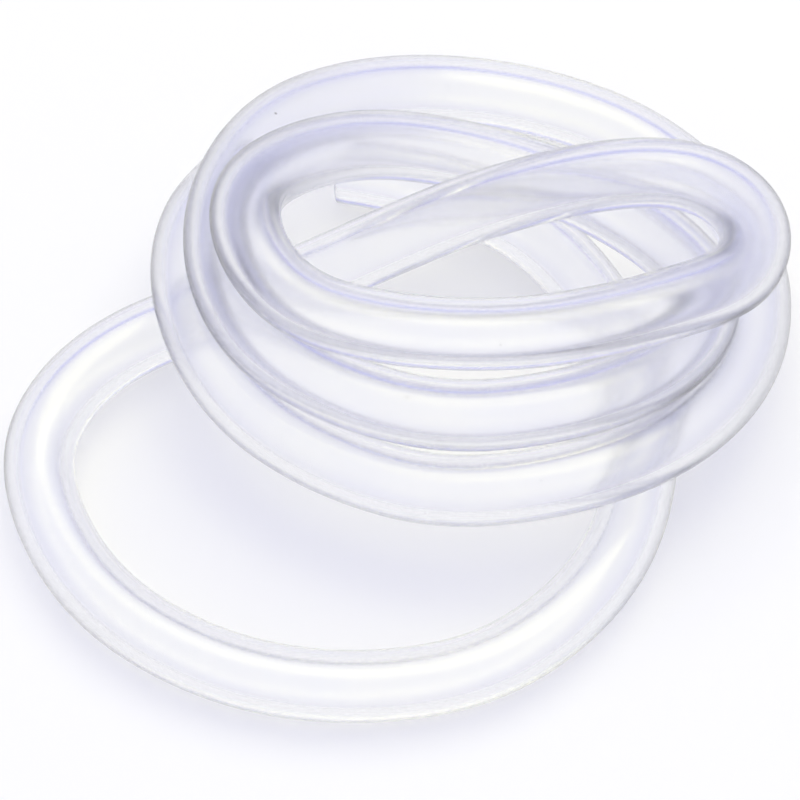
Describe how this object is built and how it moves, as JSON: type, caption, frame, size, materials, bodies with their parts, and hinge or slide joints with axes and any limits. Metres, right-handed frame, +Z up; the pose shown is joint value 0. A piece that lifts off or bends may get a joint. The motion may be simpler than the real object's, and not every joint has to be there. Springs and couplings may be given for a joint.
{
  "type": "silicone tubing coil",
  "caption": "Length of clear soft round tubing lying in loose uneven turns, one wide turn flat in front of the pile, open at both ends.",
  "frame": {"origin": "on the surface it lies on, under the middle of the coil", "axes": "+Z up; +X to the right and -Y towards the viewer as the picture shows it, with the wide turn on the -Y side"},
  "size_m": [0.112, 0.119, 0.041],
  "materials": {
    "clear_silicone": "clear, slightly milky silicone rubber with a smooth soft gloss"
  },
  "bodies": {
    "root": {"silicone_tube": "clear_silicone"}
  },
  "joints": []
}
